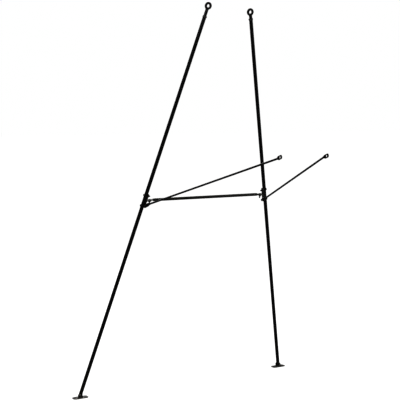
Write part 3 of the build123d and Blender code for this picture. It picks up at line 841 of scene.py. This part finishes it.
def stayEnds(name, leg):
    size = staySizes
    eye = np.array(mounts[f"{name}_stay_eye_bore"]["pos_m"])
    common = {key: size[key] for key in ("width", "thick", "edge", "rim")}
    common["corner"] = size["width"] / 2
    lower = dict(common, hole=size["pivotHole"], reach=size["pivotReach"], taper=size["pivotTaper"])
    lower["basis"] = makeBasis(leg["pivot"], leg["inwards"], eye - leg["pivot"])
    lower["tip"] = size["width"] / 2
    upper = dict(common, hole=size["eyeHole"], reach=size["eyeReach"], taper=size["eyeTaper"])
    upper["basis"] = makeBasis(eye, acrossAxis, leg["pivot"] - eye)
    upper["tip"] = size["eyeTip"]
    return lower, upper


for name, leg in legs.items():
    lower, upper = stayEnds(name, leg)
    shells = [endShell(lower), endShell(upper), rodBetween(lower, upper, staySizes["radius"])]
    buildPiece(f"{name}Stay", shells, f"{name}_stay", [f"{name}_stay"], stayPaint)
print("stays forged")

barSizes = {
    "radius": 6.35, "taper": 12.0, "width": 16.5, "reach": 10.0, "tip": 14.0, "corner": 2.2,
    "edge": 0.95, "rim": 0.3, "hole": 3.2, "seam": 0.22,
}
barEnds = []
for name, side in sides.items():
    end = {key: value for key, value in barSizes.items() if key != "radius"}
    end["thick"] = layout["barFlatThick"]
    end["basis"] = makeBasis(barBoltPoint(name), frameUp, -side * acrossAxis)
    barEnds.append(end)
shells = [endShell(barEnds[0]), endShell(barEnds[1]), rodBetween(*barEnds, barSizes["radius"])]
buildPiece("crossBar", shells, "frame", ["cross_bar"], barPaint)
print("cross bar pressed")

bracketSizes = {
    "plateWidth": 20.0, "plateLength": 64.0, "plateCorner": 5.0, "plateReach": 19.0,
    "shelfWidth": 16.0, "shelfTip": 10.0, "shelfReach": 8.6, "hole": 3.2, "edge": 0.55, "rim": 0.3,
    "rootSink": 1.2, "rootFlare": 0.55, "beadRadius": 1.7,
}


def weldBead(start, stop, radius):
    # A bead laid along a joint: its radius rises and falls with each puddle and closes at both ends.
    along = np.linspace(0, 1, 61)
    ends = np.clip(np.sqrt(np.clip(1 - (2 * along - 1) ** 8, 0, 1)), 0.05, 1)
    ripple = 1 + 0.13 * np.abs(np.sin(along * np.pi * 9)) ** 0.6
    line = unit(stop - start)
    basis = makeBasis(start, line, frameUp)
    length = np.linalg.norm(stop - start) / mm
    return turnedShell(basis, along * length, radius * ends * ripple, np.full(61, 0.35), columns=20)


def bracketShells(name, leg):
    size = bracketSizes
    inset = layout["plateBack"] + layout["plateThick"] / 2
    plate = {"width": size["plateWidth"], "thick": layout["plateThick"], "corner": size["plateCorner"],
             "reach": size["plateReach"], "hole": size["hole"], "edge": size["edge"], "rim": size["rim"]}
    half = size["plateLength"] / 2
    top = dict(plate, tip=half - layout["upperBoltAboveBar"],
               basis=makeBasis(legPoint(leg, leg["upperBoltStation"], inset), leg["inwards"], -leg["up"]))
    bottom = dict(plate, tip=half - layout["pivotBelowBar"],
                  basis=makeBasis(legPoint(leg, leg["pivotStation"], inset), leg["inwards"], leg["up"]))
    shelfTop = -layout["barFlatThick"] / 2
    middle = barBoltPoint(name) + mm * (shelfTop - layout["shelfThick"] / 2) * frameUp
    shelf = {"width": size["shelfWidth"], "thick": layout["shelfThick"], "corner": size["shelfWidth"] / 2,
             "tip": size["shelfTip"], "reach": size["shelfReach"], "hole": size["hole"], "edge": size["edge"],
             "rim": size["rim"], "basis": makeBasis(middle, frameUp, sides[name] * acrossAxis)}
    toPlate = layout["barBoltFromPlate"] - size["shelfReach"] + size["rootSink"]
    rootCorner = [layout["barBoltFromPlate"] - 0.3, 0, -layout["shelfThick"] / 2 - 0.2]
    root = placePoints(shelf["basis"], np.array(rootCorner))
    halfBead = (size["shelfWidth"] / 2 - 0.4) * mm * frameBack
    bead = weldBead(root - halfBead, root + halfBead, size["beadRadius"])
    shells = [endShell(top), endShell(bottom), stripBetween(top, bottom), endShell(shelf)]
    return shells + [stripRoot(shelf, toPlate, size["rootFlare"]), bead]


for name, leg in legs.items():
    shells = bracketShells(name, leg)
    buildPiece(f"{name}Bracket", shells, "frame", [f"{name}_bar_bracket"], bracketPaint)
print("brackets made")


def turnedBasis(at, z, x, turn):  # turned about its own z, in degrees, as a nut stops where it is tight
    basis = makeBasis(at, z, x)
    c, s = np.cos(np.radians(turn)), np.sin(np.radians(turn))
    return makeBasis(at, z, basis["x"] * c + basis["y"] * s)


def buildFastener(name, shells, node, material=darkZinc):
    buildPiece(name, shells, "frame", [node], material)


fastenerTurns = {"left": (11, 47, 23, 5, 38, 17), "right": (33, 8, 52, 26, 14, 41)}
for name, leg in legs.items():
    turns = fastenerTurns[name]
    nutSeats = {
        "upper": plateFace + layout["washerThick"],
        "pivot": plateFace + 2 * (layout["washerThick"] + layout["sideClearance"]) + layout["tabThick"],
    }
    stations = {"upper": leg["upperBoltStation"], "pivot": leg["pivotStation"]}
    for index, (place, seat) in enumerate(nutSeats.items()):
        under = legPoint(leg, stations[place], -layout["legRadius"])
        head = turnedBasis(under, leg["inwards"], leg["up"], turns[index])
        bolt = boltShell(head, screwSizes["legBoltLength"], screwSizes["legThreadLength"])
        buildFastener(f"{name}{place.title()}Bolt", [bolt], f"{name}_{place}_bolt")
        nut = turnedBasis(legPoint(leg, stations[place], seat), leg["inwards"], leg["up"], turns[2 + index])
        buildFastener(f"{name}{place.title()}Nut", [nutShell(nut)], f"{name}_{place}_nut")
    flat = makeBasis(legPoint(leg, leg["upperBoltStation"], plateFace), leg["inwards"], leg["up"])
    buildFastener(f"{name}UpperWasher", [washerShell(flat)], f"{name}_upper_washer")
    pair = []
    for seat in (plateFace, nutSeats["pivot"] - layout["washerThick"]):
        flat = makeBasis(legPoint(leg, leg["pivotStation"], seat), leg["inwards"], leg["up"])
        pair.append(washerShell(flat))
    buildFastener(f"{name}PivotWashers", pair, f"{name}_pivot_washers", paleZinc)
    middle = barBoltPoint(name)
    barTop = middle + mm * layout["barFlatThick"] / 2 * frameUp
    above = turnedBasis(barTop, -frameUp, acrossAxis, turns[4])
    bolt = boltShell(above, screwSizes["barBoltLength"], screwSizes["barThreadLength"])
    buildFastener(f"{name}BarBolt", [bolt], f"{name}_bar_bolt")
    shelfBottom = middle - mm * (layout["barFlatThick"] / 2 + layout["shelfThick"]) * frameUp
    below = turnedBasis(shelfBottom, -frameUp, acrossAxis, turns[5])
    buildFastener(f"{name}BarNut", [nutShell(below)], f"{name}_bar_nut")
print("bolts, nuts and washers made")

footSizes = {
    "length": 74.0, "width": 34.0, "thick": 3.0, "corner": 12.0, "holeMargin": 11.0, "hole": 4.5,
    "reach": 17.0, "edge": 0.7, "rim": 0.45, "earGap": 0.5, "earThick": 2.5, "earRadius": 7.5,
    "earReach": 7.2, "earFlare": 0.9, "pinRadius": 3.0, "headRadius": 5.0, "headHeight": 2.0,
}


def footShells(name, leg):
    size = footSizes
    ground = leg["foot"] * np.array([1, 1, 0]) + mm * size["thick"] / 2 * worldUp
    toHole = (size["length"] / 2 - size["holeMargin"]) * mm
    plate = {key: size[key] for key in ("width", "thick", "corner", "reach", "hole", "edge", "rim")}
    plate["tip"] = size["holeMargin"]
    ends = []
    for way in (1, -1):
        basis = makeBasis(ground + way * toHole * acrossAxis, worldUp, -way * acrossAxis)
        ends.append(dict(plate, basis=basis))
    shells = [endShell(ends[0]), endShell(ends[1]), stripBetween(*ends)]
    pinAxis = unit(joints[f"{name}_foot_hinge"]["axis"])
    pinHeight = leg["foot"][2] / mm
    middle = layout["legRadius"] + size["earGap"] + size["earThick"] / 2
    for way in (1, -1):
        ear = {"width": 2 * size["earRadius"], "thick": size["earThick"], "corner": size["earRadius"],
               "tip": size["earRadius"], "reach": size["earReach"], "hole": size["pinRadius"] - 0.02,
               "edge": 0.5, "rim": 0.25,
               "basis": makeBasis(leg["foot"] + way * middle * mm * pinAxis, way * pinAxis, -worldUp)}
        root = pinHeight - size["thick"] - size["earReach"] + 0.8
        shells += [endShell(ear), stripRoot(ear, root, size["earFlare"])]
    return shells


def pinShell(name, leg):
    # A rivet: a shank between two low domes, each a quarter ellipse turned about the pin.
    size = footSizes
    out = layout["legRadius"] + size["earGap"] + size["earThick"]
    bend = np.radians(np.linspace(8, 90, 10))
    domeRadius, domeHigh = size["headRadius"] * np.sin(bend), size["headHeight"] * np.cos(bend)
    places = join([-out - domeHigh, [-out, out], (out + domeHigh)[::-1]])
    radius = join([domeRadius, [size["pinRadius"]] * 2, domeRadius[::-1]])
    domeWorn = 0.25 + 0.75 * np.sin(bend) ** 6
    worn = join([domeWorn, [0, 0], domeWorn[::-1]])
    basis = makeBasis(leg["foot"], joints[f"{name}_foot_hinge"]["axis"], worldUp)
    return turnedShell(basis, places, radius, worn)


for name, leg in legs.items():
    shells, pin = footShells(name, leg), pinShell(name, leg)
    buildPiece(f"{name}FootPlate", shells, f"{name}_foot", [f"{name}_foot_plate"], footPaint)
    buildPiece(f"{name}FootPin", [pin], f"{name}_foot", [f"{name}_foot_pin"], darkZinc)
print("feet made")

stageLook = {
    "floorHalf": 40.0, "floorColour": (0.22, 0.22, 0.22, 1), "floorGlow": 1.0, "skyForCamera": 1.0,
    "skyForLight": 0.1,
}
lamps = {
    "keyLamp": {"place": (-3.2, -3.0, 3.6), "towards": (0, -0.3, 0.8), "size": 3.0, "power": 110.0},
    "fillLamp": {"place": (3.4, -2.4, 2.2), "towards": (0, -0.3, 0.8), "size": 3.0, "power": 60.0},
    "rimLamp": {"place": (0.6, 3.6, 3.0), "towards": (0, -0.3, 0.9), "size": 3.0, "power": 90.0},
}


def makeFloor():  # pale paper, lit from behind so that it stays as white as the backdrop
    half = stageLook["floorHalf"]
    mesh = bpy.data.meshes.new("floor")
    corners = [(-half, -half, 0), (half, -half, 0), (half, half, 0), (-half, half, 0)]
    mesh.from_pydata(corners, [], [(0, 1, 2, 3)])
    floor = bpy.data.objects.new("floor", mesh)
    bpy.context.scene.collection.objects.link(floor)
    material = bpy.data.materials.new("floorPaper")
    material.use_nodes = True
    tree = material.node_tree
    shader = next(n for n in tree.nodes if n.type == "BSDF_PRINCIPLED")
    shader.inputs["Base Color"].default_value = stageLook["floorColour"]
    shader.inputs["Roughness"].default_value = 1.0
    shader.inputs["Specular IOR Level"].default_value = 0.0
    shader.inputs["Emission Color"].default_value = (1, 1, 1, 1)
    seen = newNode(tree, "ShaderNodeLightPath").outputs["Is Camera Ray"]
    glow = times(tree, seen, stageLook["floorGlow"])
    tree.links.new(glow, shader.inputs["Emission Strength"])
    mesh.materials.append(material)


def makeSky():
    # An even white backdrop to the camera, and a softer light to everything else.
    world = bpy.data.worlds.new("studio")
    bpy.context.scene.world = world
    world.use_nodes = True
    tree = world.node_tree
    background = next(n for n in tree.nodes if n.type == "BACKGROUND")
    background.inputs["Color"].default_value = (1, 1, 1, 1)
    seen = newNode(tree, "ShaderNodeLightPath").outputs["Is Camera Ray"]
    gain = stageLook["skyForCamera"] - stageLook["skyForLight"]
    strength = plus(tree, times(tree, seen, gain), stageLook["skyForLight"])
    tree.links.new(strength, background.inputs["Strength"])


def makeLamp(name, place, towards, size, power):
    lamp = bpy.data.lights.new(name, "AREA")
    lamp.shape, lamp.size, lamp.energy = "DISK", size, power
    holder = bpy.data.objects.new(name, lamp)
    bpy.context.scene.collection.objects.link(holder)
    basis = makeBasis(place, np.asarray(place, float) - np.asarray(towards, float), acrossAxis)
    columns = [basis["x"], basis["y"], basis["z"], basis["at"]]
    holder.matrix_world = Matrix([*np.stack(columns, 1).tolist(), (0, 0, 0, 1)])


makeFloor()
makeSky()
for name, lamp in lamps.items():
    makeLamp(name, **lamp)
print("stage lit")

cameraPlace = {
    "at": (-2.369, -4.160, 1.331), "yaw": 30.55, "down": 5.28, "lens": 90.1, "sensor": 36.0, "clip": 200.0,
}
cameraData = bpy.data.cameras.new("camera")
cameraData.sensor_width = cameraPlace["sensor"]
cameraData.lens = cameraPlace["lens"]
cameraData.clip_end = cameraPlace["clip"]
camera = bpy.data.objects.new("camera", cameraData)
bpy.context.scene.collection.objects.link(camera)
camera.location = cameraPlace["at"]
camera.rotation_euler = (np.radians(90 - cameraPlace["down"]), 0, np.radians(-cameraPlace["yaw"]))
bpy.context.scene.camera = camera
bpy.context.scene.view_settings.view_transform = "Standard"
bpy.context.scene.view_settings.gamma = 0.7  # crisp dark edges against the white
print("camera set")
